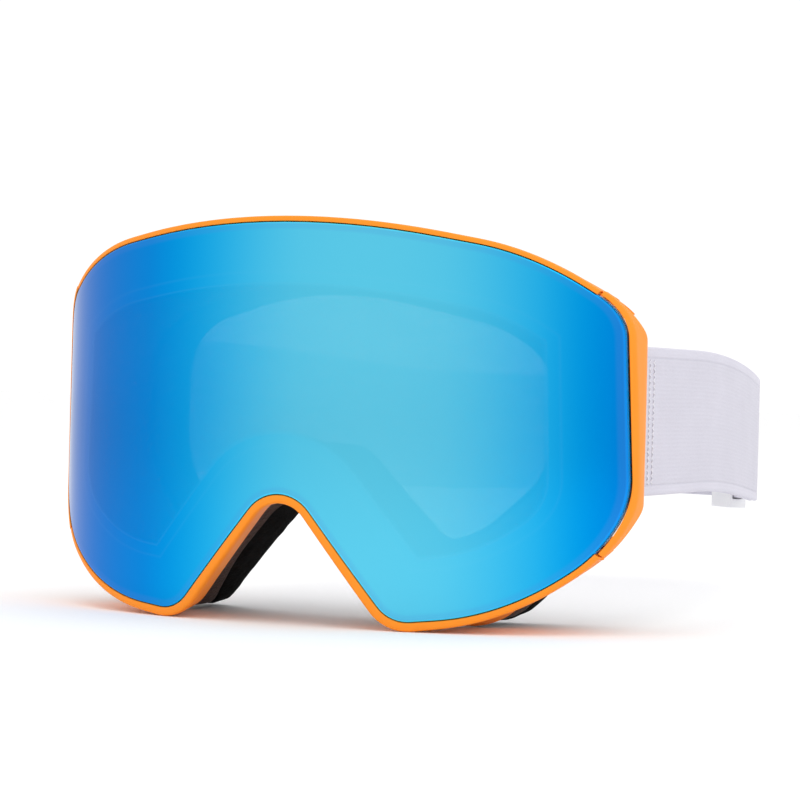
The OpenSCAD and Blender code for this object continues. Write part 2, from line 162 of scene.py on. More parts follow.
def nose_lead(x, z):
    """How much nearer the front the foam starts round the nose."""
    t = min(1.0, max(0.0, (62 - z) / 24))
    return 9.5 * math.exp(-(x / 36) ** 6) * t * t * (3 - 2 * t)


# ---------------------------------------------------------------- meshes
def skin(rings, loop=True, tube=True, caps=False):
    """Faces over an n x m grid of points."""
    rings = np.asarray(rings, float)
    n, m = rings.shape[:2]
    faces = []
    for i in range(n if loop else n - 1):
        for j in range(m if tube else m - 1):
            faces.append((i * m + j, i * m + (j + 1) % m, ((i + 1) % n) * m + (j + 1) % m, ((i + 1) % n) * m + j))
    if caps:
        faces += [tuple(range(m - 1, -1, -1)), tuple((n - 1) * m + j for j in range(m))]
    return rings.reshape(-1, 3), faces


def joined(*parts):
    verts, faces, k = [], [], 0
    for v, f in parts:
        verts.append(np.asarray(v, float))
        faces += [tuple(i + k for i in q) for q in f]
        k += len(v)
    return np.concatenate(verts), faces


def mirrored(part):
    v, f = part
    v = np.array(v, float)
    v[:, 0] *= -1
    return v, [tuple(reversed(q)) for q in f]


def piece(name, part, looks, body=None, replaces=(), sharp=38, recalc=True, face_look=None):
    """A mesh object from points in millimetres. looks is one material or several, face_look the index of each face."""
    verts, faces = part
    v = np.array(verts, float) / 1000
    v[:, 1] -= MID_Y / 1000
    me = bpy.data.meshes.new(name)
    me.from_pydata(v.tolist(), [], [tuple(int(i) for i in f) for f in faces])
    for look in looks if isinstance(looks, (list, tuple)) else [looks]:
        me.materials.append(look)
    if face_look is not None:
        me.polygons.foreach_set("material_index", np.asarray(face_look, np.int32))
    bm = bmesh.new()
    bm.from_mesh(me)
    if recalc:
        bmesh.ops.recalc_face_normals(bm, faces=bm.faces)
    for f in bm.faces:
        f.smooth = True
    for e in bm.edges:
        if len(e.link_faces) == 2 and e.calc_face_angle(0) > math.radians(sharp):
            e.smooth = False
    bm.to_mesh(me)
    bm.free()
    ob = bpy.data.objects.new(name, me)
    bpy.context.scene.collection.objects.link(ob)
    if replaces:
        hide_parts(*replaces)
    if body:
        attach(ob, body)
    return ob


def attribute(ob, name, values):
    a = ob.data.attributes.new(name, "FLOAT", "POINT")
    a.data.foreach_set("value", np.asarray(values, np.float32))


noise.seed_set(1)  # unseeded, noise_vector takes its offsets from the clock


def roughened(verts, amount, size, seed):
    """Points moved a little by smooth noise, as cut foam is."""
    out = np.array(verts, float)
    for k, p in enumerate(out):
        q = Vector((p[0] / size + seed, p[1] / size, p[2] / size))
        d = noise.noise_vector(q) + 0.5 * noise.noise_vector(q * 2.3)
        out[k] += amount * np.array(d)
    out[:, 2] = np.maximum(out[:, 2], 0)
    return out


def box_block(lo, hi, r=0.3):
    """A block with rounded edges, as a stack of rounded rectangles."""
    (x0, y0, z0), (x1, y1, z1) = lo, hi
    cx, cy, hx, hy = (x0 + x1) / 2, (y0 + y1) / 2, (x1 - x0) / 2, (y1 - y0) / 2
    rings = []
    for z, s in ((z0, r), (z0 + 0.3 * r, 0.3 * r), (z0 + r, 0), (z1 - r, 0), (z1 - 0.3 * r, 0.3 * r), (z1, r)):
        ring = []
        for sx, sy, a0 in ((1, 1, 0), (-1, 1, 90), (-1, -1, 180), (1, -1, 270)):
            for k in range(4):
                a = math.radians(a0 + 30 * k)
                ring.append((cx + sx * (hx - r) + (r - s) * math.cos(a), cy + sy * (hy - r) + (r - s) * math.sin(a), z))
        rings.append(ring)
    return skin(rings, loop=False, caps=True)


def rod(x, y, z0, z1, r, edge=0.25, n=28):
    rings = []
    for z, rr in ((z0, r - edge), (z0 + 0.3 * edge, r - 0.3 * edge), (z0 + edge, r), (z1 - edge, r),
                  (z1 - 0.3 * edge, r - 0.3 * edge), (z1, r - edge)):
        rings.append([(x + rr * math.cos(2 * math.pi * k / n), y + rr * math.sin(2 * math.pi * k / n), z) for k in range(n)])
    return skin(rings, loop=False, caps=True)


# ---------------------------------------------------------------- material helpers
def add(nt, kind, inputs=None, **props):
    n = nt.nodes.new(kind)
    for k, v in props.items():
        setattr(n, k, v)
    for k, v in (inputs or {}).items():
        if isinstance(v, bpy.types.NodeSocket):
            nt.links.new(v, n.inputs[k])
        else:
            n.inputs[k].default_value = v
    return n


def calc(nt, op, a, b=0.0, c=0.0, clamp=False):
    n = add(nt, "ShaderNodeMath", {0: a, 1: b}, operation=op)
    if op in ("MULTIPLY_ADD", "SMOOTH_MIN", "COMPARE"):
        if isinstance(c, bpy.types.NodeSocket):
            nt.links.new(c, n.inputs[2])
        else:
            n.inputs[2].default_value = c
    n.use_clamp = clamp
    return n.outputs[0]


def ramp(nt, fac, stops, interpolation="LINEAR"):
    n = add(nt, "ShaderNodeValToRGB", {"Fac": fac})
    r = n.color_ramp
    r.interpolation = interpolation
    while len(r.elements) < len(stops):
        r.elements.new(0.5)
    for e, (p, c) in zip(r.elements, stops):
        e.position = p
        e.color = (*c, 1) if len(c) == 3 else c
    return n.outputs["Color"]


def grey(v):
    return (v, v, v)


def between(nt, v, a, b, lo=0.0, hi=1.0):
    n = add(nt, "ShaderNodeMapRange", {"Value": v, "From Min": a, "From Max": b, "To Min": lo, "To Max": hi})
    return n.outputs["Result"]


def blend_colour(nt, fac, a, b, mode="MIX"):
    n = add(nt, "ShaderNodeMix", data_type="RGBA", blend_type=mode)
    for key, v in ((0, fac), (6, a), (7, b)):
        if isinstance(v, bpy.types.NodeSocket):
            nt.links.new(v, n.inputs[key])
        elif key == 0:
            n.inputs[0].default_value = v
        else:
            n.inputs[key].default_value = (*v, 1)
    return n.outputs[2]


def grain(nt, scale, detail=3.0, rough=0.6, stretch=None, where=None):
    at = where or add(nt, "ShaderNodeTexCoord").outputs["Object"]
    if stretch:
        at = add(nt, "ShaderNodeMapping", {"Vector": at, "Scale": stretch}).outputs[0]
    return add(nt, "ShaderNodeTexNoise", {"Vector": at, "Scale": scale, "Detail": detail, "Roughness": rough}).outputs["Fac"]


def look(name):
    m = bpy.data.materials.new(name)
    m.use_nodes = True
    nt = m.node_tree
    nt.nodes.clear()
    out = nt.nodes.new("ShaderNodeOutputMaterial")
    b = nt.nodes.new("ShaderNodeBsdfPrincipled")
    nt.links.new(b.outputs[0], out.inputs[0])
    return m, nt, b


def wire(nt, b, colour=None, rough=None, height=None, strength=0.3, distance=0.0002, normal=None):
    if colour is not None:
        nt.links.new(colour, b.inputs["Base Color"])
    if rough is not None:
        nt.links.new(rough, b.inputs["Roughness"])
    if height is not None:
        n = add(nt, "ShaderNodeBump", {"Height": height, "Strength": strength, "Distance": distance})
        nt.links.new(n.outputs[0], b.inputs["Normal"])


def plastic(name, colour, rough=0.42, spread=0.05, grain_scale=2600.0, bump=0.12, coat=0.0):
    m, nt, b = look(name)
    big = grain(nt, 55, 3)
    fine = grain(nt, grain_scale, 2)
    lo = tuple(c * (1 - spread) for c in colour)
    hi = tuple(min(1.0, c * (1 + spread * 0.6)) for c in colour)
    wire(nt, b, ramp(nt, big, [(0.3, lo), (0.7, hi)]), between(nt, big, 0.25, 0.75, rough - 0.05, rough + 0.05),
         fine, bump, 0.00006)
    b.inputs["Coat Weight"].default_value = coat
    b.inputs["Coat Roughness"].default_value = 0.25
    return m


def foam(name, dark, light, scale=900.0, bump=0.8, sheen=0.15):
    m, nt, b = look(name)
    at = add(nt, "ShaderNodeTexCoord").outputs["Object"]
    cells = add(nt, "ShaderNodeTexVoronoi", {"Vector": at, "Scale": scale}).outputs["Distance"]
    spots = grain(nt, scale * 0.8, 4, 0.7)
    patch = grain(nt, 90, 3)
    mix = calc(nt, "MULTIPLY", calc(nt, "MULTIPLY_ADD", spots, 0.8, calc(nt, "MULTIPLY", patch, 0.35)), 0.95)
    wire(nt, b, ramp(nt, mix, [(0.36, dark), (0.72, light)]), between(nt, spots, 0.3, 0.7, 0.86, 1.0),
         calc(nt, "ADD", calc(nt, "MULTIPLY", cells, 0.8), spots), bump, 0.0004)
    b.inputs["Specular IOR Level"].default_value = 0.04
    b.inputs["Sheen Weight"].default_value = sheen
    b.inputs["Sheen Roughness"].default_value = 0.5
    return m


# ---------------------------------------------------------------- materials
ORANGE = plastic("orange_shell", (1.0, 0.285, 0.016), 0.46, 0.03, 2400, 0.08)
ORANGE.node_tree.nodes["Principled BSDF"].inputs["Specular IOR Level"].default_value = 0.2
BLACK = plastic("black_shell", (0.012, 0.012, 0.013), 0.4, 0.25)
WHITE = plastic("white_shell", (0.80, 0.80, 0.83), 0.36, 0.03, 2000, 0.08)
RUBBER = plastic("gasket_rubber", (0.018, 0.018, 0.019), 0.62, 0.3, 1800, 0.2)
BROWN_FOAM = foam("brown_foam", (0.018, 0.009, 0.0068), (0.095, 0.055, 0.045), 1150, 0.9, 0.1)
BLACK_FOAM = foam("black_foam", (0.0012, 0.0011, 0.0011), (0.0065, 0.006, 0.006), 1000, 0.7, 0.0)
VENT_FOAM = foam("vent_foam", (0.004, 0.004, 0.004), (0.02, 0.02, 0.02), 700, 1.0, 0.0)


def steel():
    m, nt, b = look("pin_steel")
    fine = grain(nt, 900, 3, 0.6, stretch=(1, 1, 0.1))
    wire(nt, b, ramp(nt, fine, [(0.3, (0.50, 0.51, 0.53)), (0.7, (0.68, 0.69, 0.71))]),
         between(nt, fine, 0.3, 0.7, 0.22, 0.36), fine, 0.1, 0.00005)
    b.inputs["Metallic"].default_value = 1.0
    return m


def fleece():
    m, nt, b = look("fleece")
    at = add(nt, "ShaderNodeTexCoord").outputs["Object"]
    pile = add(nt, "ShaderNodeTexVoronoi", {"Vector": at, "Scale": 620.0}).outputs["Distance"]
    fuzz = grain(nt, 1500, 4, 0.7)
    patch = grain(nt, 60, 3)
    mix = calc(nt, "MULTIPLY_ADD", patch, 0.5, calc(nt, "MULTIPLY", fuzz, 0.5))
    wire(nt, b, ramp(nt, mix, [(0.35, (0.006, 0.006, 0.0065)), (0.66, (0.026, 0.025, 0.026))]),
         between(nt, fuzz, 0.3, 0.7, 0.88, 1.0), calc(nt, "MULTIPLY_ADD", fuzz, 0.6, pile), 0.9, 0.0005)
    b.inputs["Specular IOR Level"].default_value = 0.1
    b.inputs["Sheen Weight"].default_value = 0.35
    b.inputs["Sheen Roughness"].default_value = 0.6
    return m


# The mirror's colour runs from a pale cyan middle to deep blue sides, by the distance round the lens. It is partly the
# coating's own tint and partly painted reflection: the deepening blue at slant angles and the brighter frontal
# reflection are fixed by place, with the pale middle set towards +x, where the camera stands
DEEP, BLUE, AZURE, CYAN = (0.0, 0.1, 0.45), (0.0, 0.2, 0.65), (0.0, 0.4, 0.75), (0.1, 0.55, 0.75)
TINT_AND_REFLECTION_STOPS = [(-90, DEEP), (-45, BLUE), (-20, AZURE), (5, CYAN), (45, CYAN), (70, AZURE), (90, BLUE)]


def mirror():
    m, nt, b = look("mirror_lens")
    s = add(nt, "ShaderNodeAttribute", attribute_name="lens_s").outputs["Fac"]
    e = add(nt, "ShaderNodeAttribute", attribute_name="edge_mm").outputs["Fac"]
    sweep_ = grain(nt, 9, 2, 0.5)
    s = calc(nt, "MULTIPLY_ADD", calc(nt, "SUBTRACT", sweep_, 0.5), 5.0, s)
    # painted reflection: this tint by place holds the mirror's angle shift and its brighter frontal reflection
    base = ramp(nt, between(nt, s, -100, 100), [((p + 100) / 200, c) for p, c in TINT_AND_REFLECTION_STOPS], "B_SPLINE")
    # ground edge: a thin bright line, which is a painted highlight, then a soft darker violet band, which is painted
    # shade and reflection from the curved edge and the dark mask behind it
    band = ramp(nt, between(nt, e, 0, 4), [(0.0, grey(0)), (0.1, grey(0.9)), (0.35, grey(0.75)), (0.6, grey(0))], "EASE")
    edge_shade_tone = blend_colour(nt, 0.55, base, (0.075, 0.20, 0.60))
    base = blend_colour(nt, calc(nt, "MULTIPLY", band, 0.35), base, edge_shade_tone)
    # painted highlight along the outer millimetre of the lens
    edge_highlight_mask = ramp(nt, between(nt, e, 0, 1), [(0.0, grey(1)), (0.32, grey(1)), (0.6, grey(0))])
    edge_highlight_colour = blend_colour(nt, 1.0, base, (1.0, 1.28, 1.22), "MULTIPLY")
    base = blend_colour(nt, edge_highlight_mask, base, edge_highlight_colour)
    # faint lighter rings where the inner parts meet the back of the lens, painted light for those edges as seen through
    # the coating
    for at, width, much in ((13.2, 0.5, 0.018), (16.2, 0.35, 0.03)):
        near = calc(nt, "ABSOLUTE", calc(nt, "SUBTRACT", e, at))
        mask = between(nt, near, 0, width, much, 0)
        base = blend_colour(nt, mask, base, (0.30, 0.66, 0.9))
    nt.links.new(base, b.inputs["Base Color"])
    film = grain(nt, 30, 3)
    nt.links.new(between(nt, film, 0.3, 0.7, 0.085, 0.125), b.inputs["Roughness"])
    wavy = grain(nt, 45, 1, 0.4)
    wire(nt, b, height=wavy, strength=0.02, distance=0.0002)
    b.inputs["Metallic"].default_value = 1.0
    nt.links.new(between(nt, e, 15.6, 17.2, 1.0, 0.945), b.inputs["Alpha"])
    return m


def clear(name, tint, alpha):
    m, nt, b = look(name)
    film = grain(nt, 40, 2)
    wire(nt, b, ramp(nt, film, [(0.3, tint), (0.7, tuple(min(1, c * 1.08) for c in tint))]),
         between(nt, film, 0.3, 0.7, 0.04, 0.08), film, 0.01, 0.0001)
    b.inputs["Alpha"].default_value = alpha
    b.inputs["Specular IOR Level"].default_value = 0.5
    return m


def webbing():
    """Elastic knit: short slanted stitches in rows, firmer edge bands with a row of thread inside each, sunk as a
    groove whose darkening is painted shade.
    """
    m, nt, b = look("strap_knit")
    along = add(nt, "ShaderNodeAttribute", attribute_name="along_mm").outputs["Fac"]
    across = add(nt, "ShaderNodeAttribute", attribute_name="across_mm").outputs["Fac"]
    at = add(nt, "ShaderNodeCombineXYZ", {"X": along, "Y": across}).outputs[0]
    wob = grain(nt, 0.6, 2, 0.5, where=at)
    rows = calc(nt, "MULTIPLY_ADD", wob, 0.5, calc(nt, "MULTIPLY", across, 1.0))
    row = calc(nt, "PINGPONG", rows, 0.55)
    slant = calc(nt, "MULTIPLY_ADD", row, 1.6, along)
    stitch = calc(nt, "SINE", calc(nt, "MULTIPLY", slant, 2 * math.pi / 0.95))
    bar = calc(nt, "SINE", calc(nt, "MULTIPLY", rows, 2 * math.pi / 1.1))
    spots = grain(nt, 1.6, 3, 0.65, where=at)
    body = calc(nt, "MULTIPLY_ADD", stitch, 0.30, calc(nt, "MULTIPLY_ADD", bar, 0.10, calc(nt, "MULTIPLY", spots, 1.5)))
    edge = calc(nt, "ABSOLUTE", across)
    border = between(nt, edge, 17.0, 17.6)
    ribs = calc(nt, "SINE", calc(nt, "MULTIPLY", along, 2 * math.pi / 0.8))
    border_h = calc(nt, "MULTIPLY_ADD", ribs, 0.14, calc(nt, "MULTIPLY", spots, 0.5))
    height = add(nt, "ShaderNodeMix", {0: border, 2: body, 3: border_h}, data_type="FLOAT").outputs[0]
    groove = between(nt, calc(nt, "ABSOLUTE", calc(nt, "SUBTRACT", edge, 17.2)), 0.0, 0.45, 1.0, 0.0)
    height = calc(nt, "MULTIPLY_ADD", groove, -1.1, height)
    patch = grain(nt, 0.045, 3, 0.6, where=at)
    shade = calc(nt, "MULTIPLY_ADD", body, 0.22, calc(nt, "MULTIPLY", patch, 0.2))
    base = ramp(nt, shade, [(0.05, (0.52, 0.505, 0.585)), (0.45, (0.68, 0.665, 0.755))])
    # painted shade: the groove inside each edge band is darkened
    base = blend_colour(nt, calc(nt, "MULTIPLY", groove, 0.22), base, (0.42, 0.41, 0.50))
    wire(nt, b, base, between(nt, spots, 0.3, 0.7, 0.8, 0.95), height, 0.5, 0.00022)
    b.inputs["Sheen Weight"].default_value = 0.25
    b.inputs["Sheen Roughness"].default_value = 0.5
    b.inputs["Specular IOR Level"].default_value = 0.2
    return m


def thread():
    m, nt, b = look("thread")
    at = add(nt, "ShaderNodeTexCoord").outputs["Object"]
    ply = add(nt, "ShaderNodeTexWave", {"Vector": at, "Scale": 900.0, "Distortion": 2.0}, bands_direction="DIAGONAL").outputs["Fac"]
    wire(nt, b, ramp(nt, ply, [(0.2, (0.66, 0.65, 0.72)), (0.8, (0.86, 0.86, 0.90))]),
         between(nt, ply, 0, 1, 0.55, 0.75), ply, 0.5, 0.0001)
    return m


def silicone():
    m, nt, b = look("grip_print")
    dots = grain(nt, 800, 2)
    wire(nt, b, ramp(nt, dots, [(0.3, (0.62, 0.63, 0.66)), (0.7, (0.74, 0.75, 0.78))]),
         between(nt, dots, 0.3, 0.7, 0.22, 0.38), dots, 0.2, 0.0001)
    return m


MIRROR, STEEL, FLEECE = mirror(), steel(), fleece()
INNER = clear("clear_lens", (0.55, 0.66, 0.72), 0.12)
LENS_BACK = clear("lens_back", (0.42, 0.25, 0.16), 0.35)
KNIT, THREAD, GRIP = webbing(), thread(), silicone()
LENS_EDGE = plastic("lens_edge", (0.004, 0.33, 0.85), 0.3, 0.1, 1500, 0.05)

# ---------------------------------------------------------------- lens
ring_arc, ring_run = 14, 6
FLAT = outline(LENS, ring_arc, ring_run)
COUNT = len(FLAT)


def edge_distance(xz):
    a = FLAT
    b = np.roll(FLAT, -1, 0)
    d = b - a
    best = np.full(len(xz), 1e9)
    for i in range(len(a)):
        t = np.clip(((xz - a[i]) @ d[i]) / max(1e-12, d[i] @ d[i]), 0, 1)
        best = np.minimum(best, np.hypot(*(xz - a[i] - t[:, None] * d[i]).T))
    return best


def sheet_rings(half, insets, spine_steps):
    """Rings of x, z points from an outline in to a short spine, so that quads cover the whole shape."""
    rings = [outline(grown(half, -d), ring_arc, ring_run) for d in insets]
    last = rings[-1]
    q = np.stack([np.clip(last[:, 0] * 0.55, -40, 40), np.zeros(len(last))], 1)
    q[:, 1] = 66 - 6 * np.minimum(1, np.abs(q[:, 0]) / 40)
    for k in range(1, spine_steps + 1):
        rings.append(q + (last - q) * (1 - k / spine_steps))
    return rings


def lens_shell(name, half, d0, d1, insets, looks, body, replaces, edge=0.5):
    flat = sheet_rings(half, insets, 16)
    cols = []
    for k in range(len(flat) - 1, -1, -1):
        x = flat[k][:, 0]
        dip = edge * (1 - math.sqrt(max(0.0, 1 - (1 - min(1, insets[k] / edge)) ** 2))) if k < len(insets) else 0
        cols.append(np.stack([x, lens_y(x, d0) + dip, flat[k][:, 1]], 1))
    front = len(cols)
    for k in range(len(flat)):
        x = flat[k][:, 0]
        dip = 0.25 if k == 0 else 0
        cols.append(np.stack([x, lens_y(x, d1) - dip, flat[k][:, 1]], 1))
    rings = np.stack(cols, 1)
    part = skin(rings, loop=True, tube=False)
    m = rings.shape[1]
    face_look = [0 if j < front - 1 else 2 if j == front - 1 else 1 for _ in range(len(rings)) for j in range(m - 1)]
    ob = piece(name, part, looks, body, replaces, sharp=60, recalc=False, face_look=face_look)
    v = part[0]
    attribute(ob, "edge_mm", edge_distance(v[:, [0, 2]]))
    attribute(ob, "lens_s", lens_s(v[:, 0]))
    return ob, rings, front


lens, lens_rings, lens_front = lens_shell(
    "lens_mirror", LENS, 0, LENS_T, [0, 0.1, 0.25, 0.5, 0.9, 1.5, 2.3, 3.4, 5, 7, 9.5, 12, 14.5, 17], [MIRROR, LENS_BACK, LENS_EDGE],
    "lens_module", ["outer_lens"], 0.28)
inner, _, _ = lens_shell("lens_inner", grown(LENS, -GASKET_OUT), 6.8, 7.8, [0, 0.2, 0.5, 1.5, 3], [INNER, INNER, INNER], "lens_module",
                         ["inner_lens"], 0.3)


def face_out(ob):
    bm = bmesh.new()
    bm.from_mesh(ob.data)
    mid = Vector((0, 0, 0))
    up = sum((f.normal.y * f.calc_area() for f in bm.faces if f.material_index == 0), 0.0)
    if up > 0:
        bmesh.ops.reverse_faces(bm, faces=bm.faces)
    bm.to_mesh(ob.data)
    bm.free()


for o in (lens, inner):
    face_out(o)


def exact_normals(ob, rings, front, d1):
    """The lens's own curve gives its normals, so that reflections stay even."""
    n, m = rings.shape[:2]
    x = rings[:, :, 0].reshape(-1)
    a = lens_a(x)
    want = np.stack([np.sin(a), -np.cos(a), np.zeros_like(a)], 1)
    back = np.tile(np.arange(m) >= front, n)
    want[back] *= -1
    k = np.tile(np.arange(m), n)
    rim = (k >= front - 3) & (k <= front + 1)
    me = ob.data
    have = np.zeros(len(me.vertices) * 3, np.float32)
    me.vertices.foreach_get("normal", have)
    have = have.reshape(-1, 3)
    want[rim] = have[rim]
    me.normals_split_custom_set_from_vertices(want.tolist())


exact_normals(lens, lens_rings, lens_front, LENS_T)


def rounded_ring(half_out, half_in, y0, y1, r=0.3, arc=14, run=6):
    """A ring behind the lens with a small round on each edge. y0 and y1 give depths from x."""
    po, pi = outline(half_out, arc, run), outline(half_in, arc, run)
    cols = []
    for t, s in ((0, r), (0.3 * r, 0.3 * r), (r, 0)):
        cols.append((("o", t), (0, s)))
    width = np.linalg.norm(po - pi, axis=1)
    rows = []
    prof = [(r, 0, 0), (0.3 * r, 0, 0.3 * r), (0, 0, r), (0, 1, -r), (0.3 * r, 1, -0.3 * r), (r, 1, 0),
            (-r, 1, 0), (-0.3 * r, 1, -0.3 * r), (0, 1, -r), (0, 0, r), (-0.3 * r, 0, 0.3 * r), (-r, 0, 0)]
    for k, (inset, end, dy) in enumerate(prof):
        if k < 6:
            p = po + (pi - po) * (inset / width)[:, None]
        else:
            p = pi + (po - pi) * (-inset / width)[:, None]
        y = (y1 if end else y0)(p[:, 0]) + dy
        rows.append(np.stack([p[:, 0], y, p[:, 1]], 1))
    return skin(np.stack(rows, 1))


piece("lens_gasket_ring", rounded_ring(grown(LENS, -GASKET_OUT), grown(LENS, -GASKET_IN), lambda x: lens_y(x, 1.8), lambda x: lens_y(x, 6.8)),
      RUBBER, "lens_module", ["lens_gasket"])

# ---------------------------------------------------------------- front frame: rim in two runs, ledge, knuckles
FINE_ARC, FINE_RUN = 22, 10
IN = outline(grown(LENS, LENS_GAP), FINE_ARC, FINE_RUN)
OUT = outline(RIM, FINE_ARC, FINE_RUN)
BEHIND = outline(COLLAR, FINE_ARC, FINE_RUN)
ARM_LINE = outline(ARM, FINE_ARC, FINE_RUN)
N = len(IN)


def at(points, u):
    i = int(math.floor(u)) % len(points)
    t = u - math.floor(u)
    return points[i] * (1 - t) + points[(i + 1) % len(points)] * t


def crossing(points, z):
    """The float index where the right side of an outline rises past height z."""
    for i in range(len(points)):
        a, b = points[i], points[(i + 1) % len(points)]
        if a[0] > 60 and a[1] <= z < b[1]:
            return i + (z - a[1]) / (b[1] - a[1])
    raise ValueError(z)


def steps(u0, u1, size=1.2):
    """Places along the outline at even spacing."""
    fine = np.arange(u0, u1 + 0.1, 0.1)
    fine[-1] = u1
    where = np.array([at(OUT, u) for u in fine])
    run = np.concatenate([[0], np.cumsum(np.linalg.norm(np.diff(where, axis=0), axis=1))])
    return list(np.interp(np.linspace(0, run[-1], int(run[-1] / size) + 2), run, fine))


# the outline starts at the nose and is symmetric, so the left side's index mirrors the right side's
middle = FINE_ARC / 2
u_low, u_high = crossing(IN, NOTCH_LO), crossing(IN, NOTCH_HI)
u_low_left, u_high_left = N + 2 * middle - u_low, N + 2 * middle - u_high

LIP = [(0, None), (0, 0.45), (0.05, 0.2), (0.13, 0.05), (0.24, 0), (0.45, -0.02), (0.66, 0), (0.82, 0.09), (0.94, 0.32), (1, 0.75),
       (1, 2.2), (1, None)]


def lip_section(u):
    a, b, c = at(IN, u), at(OUT, u), at(BEHIND, u)
    d = c - unit(b - a) * 2
    pts = [(d[0], float(crease_y(d[0])), d[1]), (a[0], float(lens_y(a[0])) + 2.6, a[1])]
    for t, dy in LIP[1:-1]:
        p = a + (b - a) * t
        pts.append((p[0], float(lens_y(p[0])) - 0.2 + dy, p[1]))
    for t in (0.15, 0.4, 0.7, 1.0):
        p = b + (c - b) * (t * t * (1 - t) + t * t * t + t * (1 - t))
        y = lens_y(b[0]) + 2.0 + (crease_y(c[0]) - lens_y(b[0]) - 2.0) * t
        pts.append((p[0], float(y), p[1]))
    return np.maximum(pts, (-200, -200, 0))


def closed_ends(rings, reach=0.1):
    """Rounds off both ends of a run of sections."""
    rings = [np.array(r) for r in rings]
    out = list(rings)
    for first in (True, False):
        end = rings[0] if first else rings[-1]
        step = (rings[0] - rings[1]) if first else (rings[-1] - rings[-2])
        way = unit(step.mean(0))
        mid = end.mean(0)
        extra = [mid + (end - mid) * s + way * reach * w for s, w in ((0.985, 0.45), (0.94, 0.8), (0.85, 1.0))]
        if first:
            out = extra[::-1] + out
        else:
            out = out + extra
    return out


top_run = closed_ends([lip_section(u) for u in steps(u_high, u_high_left)])
low_run = closed_ends([lip_section(u) for u in steps(u_low_left, N + u_low)])
ledge_out, ledge_in = grown(LENS, 0.3), grown(LENS, -10)
ledge = rounded_ring(ledge_out, ledge_in, lambda x: lens_y(x, 4.5), lambda x: lens_y(x, 7.5), 0.3, 20, 8)


def slot_cut(part):
    """Takes the ledge away where the outriggers' loops sit, and behind their shells."""
    v, f = part
    keep = []
    for q in f:
        c = np.mean([v[i] for i in q], 0)
        if abs(c[0]) > 79.5 or abs(c[0]) > 77.0 and 26 < c[2] < 82:
            continue
        keep.append(q)
    return v, keep


knuckles = []
for z in (22.6, 85.6):
    for s in (-1, 1):
        knuckle = rod(AXIS_X - 0.4, AXIS_Y, z + s * 2.1 - 0.9, z + s * 2.1 + 0.9, 1.7, 0.3)
        knuckles += [knuckle, mirrored(knuckle)]
piece("rim", joined(skin(top_run, loop=False, caps=True), skin(low_run, loop=False, caps=True)), ORANGE, "frame",
      ["front_frame"], sharp=50)
piece("rim_ledge", joined(slot_cut(ledge), *knuckles), ORANGE, "frame", ["front_frame"], sharp=50)

# ---------------------------------------------------------------- face frame with its crease and vent slots
WALL_ARC, WALL_RUN = 34, 22
w_of, w_or = outline(COLLAR, WALL_ARC, WALL_RUN), outline(FACE, WALL_ARC, WALL_RUN)
w_fo = outline(grown(PORT, 2), WALL_ARC, WALL_RUN)
w_ir, w_ifr = outline(grown(FACE, -2), WALL_ARC, WALL_RUN), outline(grown(COLLAR, -2), WALL_ARC, WALL_RUN)
VENTS = [(24.2, 10.8, 5.2)]  # half distance from the middle, height and half length of the slot


def wall_point(i, v):
    a, b = w_of[i], w_or[i]
    p = a + (b - a) * v
    back = seat(b[0]) - nose_lead(*b)
    y = crease_y(a[0]) + (back - crease_y(a[0])) * v
    return p, float(y)


def normal_of(points, i):
    d = points[(i + 1) % len(points)] - points[i - 1]
    return unit(np.array((d[1], -d[0])))


wall_v = [0, 0.02, 0.06] + [0.06 + 0.92 * k / 26 for k in range(1, 26)] + [0.98, 1.0]
rings, depth = [], []
for i in range(len(w_of)):
    ring, dep = [], []
    n_ = normal_of(w_of, i)
    for v in wall_v:
        p, y = wall_point(i, v)
        hollow = 0.2 * math.exp(-((v - 0.05) / 0.04) ** 2)
        slot = 0.0
        for vx, vz, half_len in VENTS:
            if abs(p[0]) > 14 and abs(p[0]) < 36 and p[1] < 30:
                along = (p[1] - vz) / math.cos(math.radians(38))
                over = (v - 0.42) / 0.11
                slot = max(slot, math.exp(-(abs(along) / (half_len * 0.5)) ** 4 - over**2 * 1.2))
        if p[1] > 90:
            off = p[0] - 24 * round(p[0] / 24)
            slot = max(slot, math.exp(-(abs(off) / 7) ** 8 - ((v - 0.35) / 0.09) ** 4)) if abs(p[0]) < 58 else slot
        d = hollow + 1.5 * slot
        q = p - n_ * d
        ring.append((q[0], y, max(0.0, q[1])))
        dep.append(slot)
    for src, dy in ((w_fo[i], 0), (w_fo[i], -2.2), (w_ir[i], -2.2)):
        ring.append((src[0], float(seat(src[0])) + dy - nose_lead(*src), max(0.0, src[1])))
        dep.append(0)
    ring.append((w_ifr[i][0], float(crease_y(w_ifr[i][0])), max(0.0, w_ifr[i][1])))
    dep.append(0)
    rings.append(ring)
    depth.append(dep)
depth = np.array(depth)
m = depth.shape[1]
face_look = [1 if (depth[i][j] + depth[i][(j + 1) % m] + depth[(i + 1) % len(rings)][j]) / 3 > 0.62 else 0
             for i in range(len(rings)) for j in range(m)]
piece("face_shell", skin(rings), [ORANGE, BLACK_FOAM], "frame", ["face_frame"], face_look=face_look, sharp=50)


